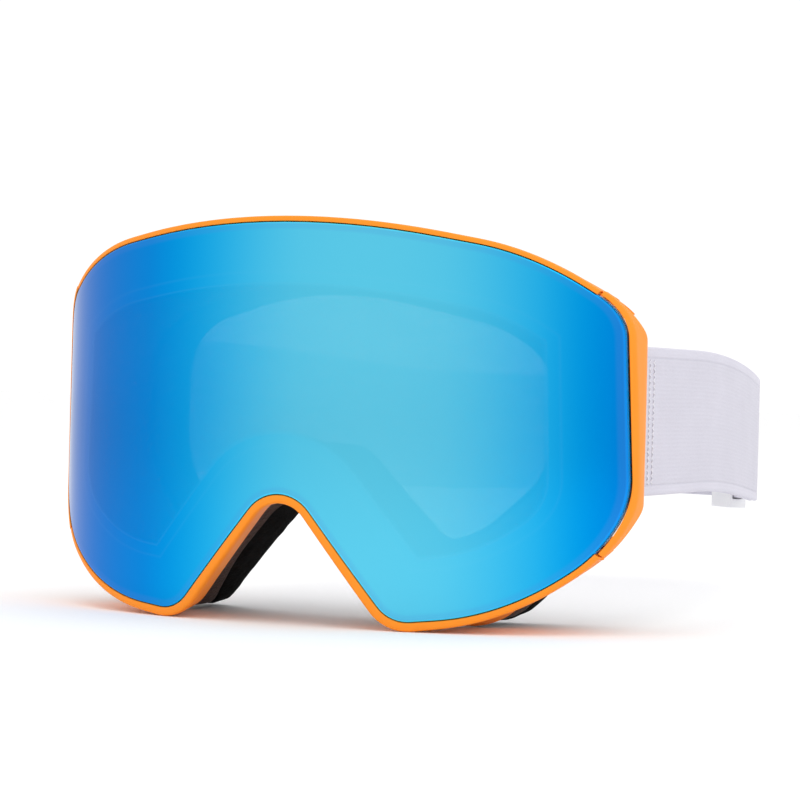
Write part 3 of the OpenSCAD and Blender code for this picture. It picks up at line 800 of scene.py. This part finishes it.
# ---------------------------------------------------------------- foam
def foam_piece(name, looks, replaces, y0, y1, out0, out1, in0, in1, rough=0.25, size=3.2, seed=0.0, crown=0.35,
               round_back=0.0, round_front=0.2, lead=(1, 1)):
    o0, o1 = outline(out0, 20, 12), outline(out1, 20, 12)
    i0, i1 = outline(in0, 20, 12), outline(in1, 20, 12)
    steps_ = 12
    rings = []
    for k in range(len(o0)):
        n0, n1 = normal_of(o0, k), normal_of(i0, k)
        ring = []
        for j in range(steps_ + 1):
            v = j / steps_
            p = o0[k] + (o1[k] - o0[k]) * v + n0 * crown * math.sin(math.pi * v)
            if j == 0:
                p = p - n0 * round_front
            if j == steps_:
                p = p - n0 * round_back
            y = float(seat(p[0])) + y0 + (y1 - y0) * v - (0.5 * round_back if j == steps_ else 0)
            ring.append((p[0], y - nose_lead(*p) * (lead[0] + (lead[1] - lead[0]) * v), p[1]))
        for j in range(1, 8):
            v = j / 8
            p = o1[k] + (i1[k] - o1[k]) * v
            y = float(seat(p[0])) + y1 + 0.25 * round_back * math.sin(math.pi * v)
            ring.append((p[0], y - nose_lead(*p) * lead[1], p[1]))
        for j in range(steps_, -1, -1):
            v = j / steps_
            p = i0[k] + (i1[k] - i0[k]) * v
            if j == steps_:
                p = p + n1 * round_back * 0.5
            y = float(seat(p[0])) + y0 + (y1 - y0) * v - (0.5 * round_back if j == steps_ else 0)
            ring.append((p[0], y - nose_lead(*p) * (lead[0] + (lead[1] - lead[0]) * v), p[1]))
        rings.append(ring)
    verts, faces = skin(rings)
    verts = roughened(verts, rough, size, seed)
    ob = piece(name, (verts, faces), looks, "frame", replaces, sharp=70)
    return ob


FOAM_OUT, FOAM_BACK = grown(FACE, -0.6), grown(FACE, -1.2)
foam_piece("foam_firm", BROWN_FOAM, ["foam_base"], 0.15, 10.9, FOAM_OUT, FOAM_OUT, PORT, PORT, 0.16, 2.6, 3.0, 0.1)
foam_piece("foam_plush", BLACK_FOAM, ["foam_soft"], 11.0, 19.4, FOAM_OUT, FOAM_BACK, PORT, grown(PORT, 0.6), 0.3, 3.4, 11.0,
           0.25, lead=(1, 0))
foam_piece("fleece_layer", FLEECE, ["face_fleece"], 19.5, 22.0, FOAM_BACK, grown(FOAM_BACK, -1.4), grown(PORT, 0.6),
           grown(PORT, 1.6), 0.2, 3.0, 23.0, 0.1, 0.7, lead=(0, 0))


def vent_strip(name, first, last, replaces, side=1, seed=0.0):
    """Thin foam behind the walls, over part of the outline."""
    arc, run = 16, 10
    per = arc + run
    fo, ro = outline(grown(COLLAR, -2.8), arc, run), outline(grown(FACE, -2.8), arc, run)
    fi, ri = outline(grown(COLLAR, -4.8), arc, run), outline(grown(FACE, -4.8), arc, run)
    rings = []
    for i in range(int(first * per), int(last * per) + 1):
        i %= len(fo)
        ring = []
        for a, b in ((fo, ro), (ri, fi)):
            for j in range(7):
                v = j / 6
                p = a[i] + (b[i] - a[i]) * v
                front_v = v if a is fo else 1 - v
                y = (crease_y(p[0]) + 1.2) * (1 - front_v) + (seat(p[0]) - 2.9) * front_v
                ring.append((p[0] * side, float(y), max(0.2, p[1])))
        rings.append(ring)
    verts, faces = skin(rings, loop=False, caps=True)
    verts = roughened(verts, 0.12, 3.0, seed)
    ob = piece(name, (verts, faces), VENT_FOAM, "frame", replaces, sharp=60)


vent_strip("vent_foam_top", 5.03, 7.6, ["top_vent_foam"], seed=5.0)
vent_strip("vent_foam_right", 1.45, 2.3, ["lower_vent_foam_right"], seed=7.0)
vent_strip("vent_foam_left", 1.45, 2.3, ["lower_vent_foam_left"], -1, seed=9.0)

# ---------------------------------------------------------------- outriggers
def back_edge(z):
    zs, ys = zip(*ARM_SIDE)
    return sum(float(np.interp(z + d, zs, ys)) for d in (-3, -2, -1, 0, 1, 2, 3)) / 7


def smooth_min(a, b, k):
    h = max(0.0, min(1.0, 0.5 + 0.5 * (b - a) / k))
    return b * (1 - h) + a * h - k * h * (1 - h)


def shell_x(rim_x, y):
    arc = 71.4 + math.sqrt(max(0.0, 256 - (max(y, 37.5) - 37.5) ** 2))
    return smooth_min(rim_x, arc, 0.8)


OUT_GAP = {"mid": outline(grown(LENS, 0.65), FINE_ARC, FINE_RUN), "tip": outline(grown(LENS, 0.65), FINE_ARC, FINE_RUN)}


def outrigger_section(u):
    b = at(ARM_LINE, u)
    z = b[1]
    tip = max(0.0, min(1.0, (30 - z) / 3)) + max(0.0, min(1.0, (z - 79) / 3))
    a = at(OUT_GAP["mid"], u) * (1 - tip) + at(OUT_GAP["tip"], u) * tip
    y_front = float(lens_y(b[0])) - 0.2
    y_end = y_front + 1.8 - smooth_min(0.0, y_front + 1.8 - back_edge(z), 1.5)
    outer = []
    steps_ = 16
    for k in range(steps_ + 1):
        y = y_front + 0.75 + (y_end - y_front - 0.75) * k / steps_
        outer.append((shell_x(b[0], y), y))
    inner_side = []
    for k in range(steps_, -1, -1):
        x, y = outer[k]
        p, q = outer[max(0, k - 1)], outer[min(steps_, k + 1)]
        d = unit(np.array((q[0] - p[0], q[1] - p[1])))
        thick = 1.4
        inner_side.append((x - d[1] * thick, y + d[0] * thick))
    pts = []
    x0 = outer[0][0]
    for t, dy in ((0.13, 0.05), (0.3, 0.0), (0.6, 0.0), (0.80, 0.1), (0.94, 0.35)):
        x = a[0] + (x0 - a[0]) * t
        pts.append((x, float(lens_y(x)) - 0.2 + dy, a[1] + (z - a[1]) * t))
    pts += [(x, y, z) for x, y in outer]
    xe, ye = outer[-1]
    xi, yi = inner_side[0]
    pts += [((xe * 2 + xi) / 3, ye + 0.28, z), ((xe + 2 * xi) / 3, ye + 0.24, z)]
    width = x0 - a[0]
    for k, (x, y) in enumerate(inner_side):
        f = k / steps_
        zz = z + (a[1] - z) * max(0.0, (f - 0.5) / 0.5)
        blend_in = max(0.0, (f - 0.6) / 0.4)
        pts.append((x * (1 - blend_in) + a[0] * blend_in, y, zz))
    pts.append((a[0] + 0.03, float(lens_y(a[0])) - 0.2 + 0.25, a[1]))
    return np.array(pts)


u0 = crossing(IN, NOTCH_LO + 0.55)
u1 = crossing(IN, NOTCH_HI - 0.55)
shell_rings = closed_ends([outrigger_section(u) for u in steps(u0, u1, 0.8)], 0.1)
shell = skin(shell_rings, loop=False, caps=True)
bar = box_block((79.9, 41.4, 32.2), (81.9, 44.4, 79.8), 0.6)
webs = [box_block((80.2, 41.6, z0), (84.9, 43.8, z0 + 3.6), 0.5) for z0 in (31.8, 76.6)]
tabs = []
for z in (22.6, 85.6):
    tabs.append(rod(AXIS_X, AXIS_Y, z - 0.9, z + 0.9, 1.7, 0.3))
    tabs.append(box_block((AXIS_X, 31.2, z - 0.9), (80.6, 33.6, z + 0.9), 0.3))
outrigger = joined(shell, bar, *webs, *tabs)
piece("outrigger_shell_right", outrigger, ORANGE, "outrigger_right_arm", ["outrigger_right"], sharp=45)
piece("outrigger_shell_left", mirrored(outrigger), ORANGE, "outrigger_left_arm", ["outrigger_left"], sharp=45)


# ---------------------------------------------------------------- strap
def strap_at(w):
    if w > HALF_LEN:
        x, y, a = strap_at(2 * HALF_LEN - w)
        return -x, y, math.pi - a
    if w < SIDE_LEN:
        a = w / SIDE_R
        return STRAP_X - SIDE_R * (1 - math.cos(a)), STRAP_Y + SIDE_R * math.sin(a), a
    a = SIDE_TURN + (w - SIDE_LEN) / BACK_R
    return BACK_R * math.cos(a), BACK_Y + BACK_R * math.sin(a), a


def strap_z(w):
    t = min(1, max(0, (min(w, 2 * HALF_LEN - w) - 50) / 150))
    return STRAP_MID - 7 * t * t * (3 - 2 * t)


def layer_point(w, inset):
    x, y, a = strap_at(w)
    return np.array((x - inset * math.cos(a), y - inset * math.sin(a), strap_z(w)))


def smooth_path(points, step=0.8):
    """A Catmull-Rom curve through the points, with its length along."""
    pts = [np.array(p, float) for p in points]
    pts = [2 * pts[0] - pts[1]] + pts + [2 * pts[-1] - pts[-2]]
    out = []
    for k in range(1, len(pts) - 2):
        p0, p1, p2, p3 = pts[k - 1:k + 3]
        n = max(2, int(math.ceil(np.linalg.norm(p2 - p1) / step)))
        for j in range(n):
            t = j / n
            out.append(0.5 * (2 * p1 + (p2 - p0) * t + (2 * p0 - 5 * p1 + 4 * p2 - p3) * t**2 + (3 * p1 - p0 - 3 * p2 + p3) * t**3))
    out.append(pts[-2])
    return np.array(out)


ACROSS = [-20, -19.9, -19.6, -19.1, -18.4, -17.6, -17.2, -16.8, -15] + [-12.5 + 2.5 * k for k in range(11)] + [15, 16.8, 17.2, 17.6, 18.4, 19.1, 19.6, 19.9, 20]


def half_thick(c):
    e = 20 - abs(c)
    round_ = math.sqrt(max(0.0, 1 - (1 - min(1, e / 0.55)) ** 2))
    groove = 0.06 * math.exp(-((abs(c) - 17.2) / 0.35) ** 2)
    return (0.62 + (0.04 if abs(c) > 17.4 else 0)) * max(0.05, round_) - groove


def band(name, path, looks, body=None, slot="strap_white", replaces=(), mirror_x=False, ends=True, start_along=0.0, lean=None):
    """Webbing along a path of its middle line, as a closed mesh with along_mm and across_mm for its knit."""
    path = np.asarray(path, float)
    seg = np.linalg.norm(np.diff(path, axis=0), axis=1)
    along = np.concatenate([[0], np.cumsum(seg)]) + start_along
    rings, al, ac = [], [], []
    for k, p in enumerate(path):
        d = path[min(k + 1, len(path) - 1)] - path[max(k - 1, 0)]
        d = unit(np.array((d[0], d[1])))
        n = np.array((d[1], -d[0], 0))
        tilt = lean(along[k]) if lean else 0.0
        ring = []
        for sgn, order in ((1, ACROSS), (-1, ACROSS[::-1])):
            for c in order:
                t = half_thick(c)
                q = p + n * (sgn * t) + np.array((0, 0, c)) + n * tilt * (c / 20)
                ring.append(q)
                al.append(along[k])
                ac.append(c)
        rings.append(ring)
    part = skin(rings, loop=False, caps=ends)
    if mirror_x:
        part = mirrored(part)
    ob = piece(name, part, looks, None, replaces, sharp=60)
    attribute(ob, "along_mm", al)
    attribute(ob, "across_mm", ac)
    if body:
        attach(ob, body)
    return ob


LOOP = [(82.62, 46.5, 56), (82.72, 43.6, 56), (82.35, 41.6, 56), (80.9, 40.72, 56), (79.45, 41.6, 56), (79.08, 43.6, 56),
        (79.45, 47.0, 56), (80.3, 51.0, 56)]
LAYER = STRAP_T + 0.1


def route(w_outer_from, w_inner_to):
    """From the middle of the back along the outside, round the bar, and back along the inside."""
    pts = [layer_point(w, 0) for w in np.arange(w_outer_from, 12, -3.0)] + [layer_point(9.0, 0), layer_point(4.0, 0)]
    pts += [np.array(p) for p in LOOP]
    pts += [layer_point(7.0, LAYER)] + [layer_point(w, LAYER) for w in np.arange(12.0, w_inner_to, 3.0)] + [layer_point(w_inner_to, LAYER)]
    return smooth_path(pts, 1.5)


right_path = route(HALF_LEN, 186.0)
right = band("strap_right", right_path, KNIT, replaces=["strap_end_right", "strap", "strap_return_right"], ends=True)
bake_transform(right)
return_path = np.array([layer_point(w, LAYER) for w in np.arange(186.0, ADJUSTER_AT + 0.01, 1.5)] + [layer_point(ADJUSTER_AT + 1, LAYER)])
tail = band("strap_tail", return_path, KNIT, replaces=["strap_return_right"])
tail_a, tail_b = layer_point(190.0, LAYER), layer_point(ADJUSTER_AT - 5, LAYER)
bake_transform(tail)
left_path = route(HALF_LEN, 141.0)
left = band("strap_left", left_path, KNIT, replaces=["strap_end_left", "strap", "strap_return_left"], mirror_x=True)
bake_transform(left)


# ---------------------------------------------------------------- stitches
def stitches(name, places, body, replaces, side=1, blend_to=None):
    """Short raised threads. Each place is a start, an end and the way out of the cloth."""
    parts = []
    for a, b, out in places:
        a, b, out = np.array(a, float), np.array(b, float), unit(np.array(out, float))
        d = unit(b - a)
        s = np.cross(d, out)
        rings = []
        for k in range(7):
            t = k / 6
            c = a + (b - a) * t + out * 0.22 * math.sin(math.pi * t)
            r = 0.17 * (0.55 + 0.45 * math.sin(math.pi * t))
            rings.append([c + r * (math.cos(q) * out + math.sin(q) * s) for q in np.linspace(0, 2 * math.pi, 9)[:-1]])
        parts.append(skin(rings, loop=False, caps=True))
    part = joined(*parts)
    if side < 0:
        part = mirrored(part)
    return piece(name, part, THREAD, body, replaces)


def tack_rows():
    rows = []
    for y in (54.3, 57.6):
        x = 82.3 - (y - 50) ** 2 / (2 * SIDE_R) + 0.6
        z = STRAP_MID - 17
        k = 0
        while z < STRAP_MID + 16.2:
            dy = 0.55 if k % 2 else -0.55
            rows.append(((x, y - dy, z), (x, y + dy, z + 0.8), (1, 0, 0)))
            z += 0.8
            k += 1
    return rows


stitches("bar_tack_right", tack_rows(), "outrigger_right_arm", ["bar_tacks_right"])
stitches("bar_tack_left", tack_rows(), "outrigger_left_arm", ["bar_tacks_left"], -1)


def hem_rows():
    """The left strap's inner end is sewn down with two rows."""
    rows = []
    for w in (136.5, 133.6):
        z = -17.0
        while z < 16.5:
            p = layer_point(w, LAYER + 0.62)
            _, _, a = strap_at(w)
            rows.append(((p[0], p[1], p[2] + z), (p[0], p[1], p[2] + z + 1.5), (-math.cos(a), -math.sin(a), 0)))
            z += 2.1
    return rows


stitches("hem_stitches", hem_rows(), "frame", [], -1)


def grip():
    """Dashes of soft print on the inside of the band."""
    parts = []
    start, end = ADJUSTER_AT + 36, 2 * HALF_LEN - 144
    for dz in (-10, 0, 10):
        w = start
        while w + 5 < end:
            rings = []
            for k in range(9):
                t = k / 8
                ww = w + 4.6 * t
                x, y, a = strap_at(ww)
                inward = np.array((-math.cos(a), -math.sin(a), 0))
                base = np.array((x, y, strap_z(ww) + dz)) + inward * 0.60
                wide = 0.75 * math.sqrt(max(0.02, 1 - (2 * t - 1) ** 6))
                rings.append([base + np.array((0, 0, wide * c)) + inward * h for c, h in
                              ((-1, 0), (-0.8, 0.22), (0, 0.34), (0.8, 0.22), (1, 0))])
            parts.append(skin(rings, loop=False, caps=True))
            w += 6.6
    return joined(*parts)


piece("grip_dashes", grip(), GRIP, "frame", ["grip_lines"])


# ---------------------------------------------------------------- hard CAD parts that keep their shape
def softened(node, name, look_, body, width=0.35, angle=28):
    """A copy of a CAD part with its edges rounded, which stands for it."""
    src = NODES[node]
    me = src.data.copy()
    bm = bmesh.new()
    bm.from_mesh(me)
    bmesh.ops.remove_doubles(bm, verts=bm.verts, dist=2e-6)
    bmesh.ops.dissolve_limit(bm, angle_limit=math.radians(1.5), verts=bm.verts, edges=bm.edges)
    bm.to_mesh(me)
    bm.free()
    me.materials.clear()
    me.materials.append(look_)
    ob = bpy.data.objects.new(name, me)
    bpy.context.scene.collection.objects.link(ob)
    mod = ob.modifiers.new("edge", "BEVEL")
    mod.width, mod.segments, mod.limit_method, mod.angle_limit = width / 1000, 3, "ANGLE", math.radians(angle)
    mod.harden_normals = False
    dg = bpy.context.evaluated_depsgraph_get()
    done = bpy.data.meshes.new_from_object(ob.evaluated_get(dg))
    ob.modifiers.clear()
    ob.data = done
    for p in done.polygons:
        p.use_smooth = True
    bm = bmesh.new()
    bm.from_mesh(done)
    for e in bm.edges:
        e.smooth = not (len(e.link_faces) == 2 and e.calc_face_angle(0) > math.radians(45))
    bm.to_mesh(done)
    bm.free()
    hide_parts(node)
    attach(ob, body)
    return ob


softened("strap_adjuster", "strap_slide", WHITE, "adjuster", 0.45)


def discs(name, d, replaces, body):
    parts = []
    for s, z in ((24, 97.6), (57, 89.5), (84.5, 54), (62, 11.5)):
        for side in (-1, 1):
            a = s / 180 + 0.52 * (s / 100) ** 3
            x0, y0 = float(np.interp(s, CS, CX)), float(np.interp(s, CS, CY))
            n = np.array((-math.sin(a), math.cos(a), 0))
            t = np.array((math.cos(a), math.sin(a), 0))
            c = np.array((x0, y0, z)) + n * d[0]
            rings = []
            for h, r in ((0, 1.7), (0.1, 1.9), (0.3, 2.0), (d[1] - 0.3, 2.0), (d[1] - 0.1, 1.9), (d[1], 1.7)):
                rings.append([c + n * h + r * (math.cos(q) * t + math.sin(q) * np.array((0, 0, 1)))
                              for q in np.linspace(0, 2 * math.pi, 25)[:-1]])
            part = skin(rings, loop=False, caps=True)
            parts.append(part if side > 0 else mirrored(part))
    piece(name, joined(*parts), STEEL, body, replaces)


discs("magnets_lens", (2.6, 1.72), ["lens_magnets"], "lens_module")
discs("magnets_frame", (4.38, 1.6), ["frame_magnets"], "frame")
for node, material in (("lens_carrier", BLACK), ("hinge_pins_left", STEEL), ("hinge_pins_right", STEEL)):
    for place in NODES[node].material_slots:
        place.material = material

# ---------------------------------------------------------------- stage, light, camera
def floor():
    me = bpy.data.meshes.new("floor")
    me.from_pydata([(-9, -9, 0), (9, -9, 0), (9, 9, 0), (-9, 9, 0)], [], [(0, 1, 2, 3)])
    ob = bpy.data.objects.new("floor", me)
    bpy.context.scene.collection.objects.link(ob)
    m, nt, b = look("floor_paper")
    fine = grain(nt, 700, 3)
    wire(nt, b, ramp(nt, fine, [(0.3, grey(0.93)), (0.7, grey(0.96))]), between(nt, fine, 0.3, 0.7, 0.85, 0.95), fine, 0.03, 0.00005)
    b.inputs["Specular IOR Level"].default_value = 0.1
    me.materials.append(m)


floor()
world = bpy.data.worlds.new("studio")
bpy.context.scene.world = world
world.use_nodes = True
wt = world.node_tree
wt.nodes.clear()
bg = add(wt, "ShaderNodeBackground", {"Color": (1.0, 1.0, 1.0, 1.0), "Strength": 1.06})
wt.links.new(bg.outputs[0], wt.nodes.new("ShaderNodeOutputWorld").inputs[0])


def area(name, place, target, size, power, colour=(1, 1, 1)):
    light = bpy.data.lights.new(name, "AREA")
    light.shape, light.size, light.size_y, light.energy, light.color = "RECTANGLE", size[0], size[1], power, colour
    ob = bpy.data.objects.new(name, light)
    ob.location = place
    ob.rotation_mode = "QUATERNION"
    ob.rotation_quaternion = (Vector(target) - Vector(place)).to_track_quat("-Z", "Y")
    bpy.context.scene.collection.objects.link(ob)


area("top_box", (0.1, -0.2, 1.3), (0, -0.05, 0.05), (1.2, 1.0), 3.0)
area("side_box", (1.1, -0.5, 0.75), (0.08, -0.08, 0.05), (0.7, 0.7), 1.4)

cam = bpy.data.cameras.new("camera")
cam.lens, cam.sensor_width = 130, 36
cam_ob = bpy.data.objects.new("camera", cam)
bpy.context.scene.collection.objects.link(cam_ob)
r_, u_, f_ = Vector((0.90320, 0.42840, 0.02656)), Vector((-0.02622, -0.00670, 0.99963)), Vector((-0.42842, 0.90356, -0.00518))
cam_ob.matrix_world = Matrix.Translation((0.35413, -0.81165, 0.0640)) @ Matrix((r_, u_, -f_)).transposed().to_4x4()
bpy.context.scene.camera = cam_ob
bpy.context.scene.view_settings.view_transform = "Standard"
bpy.context.scene.view_settings.look = "None"
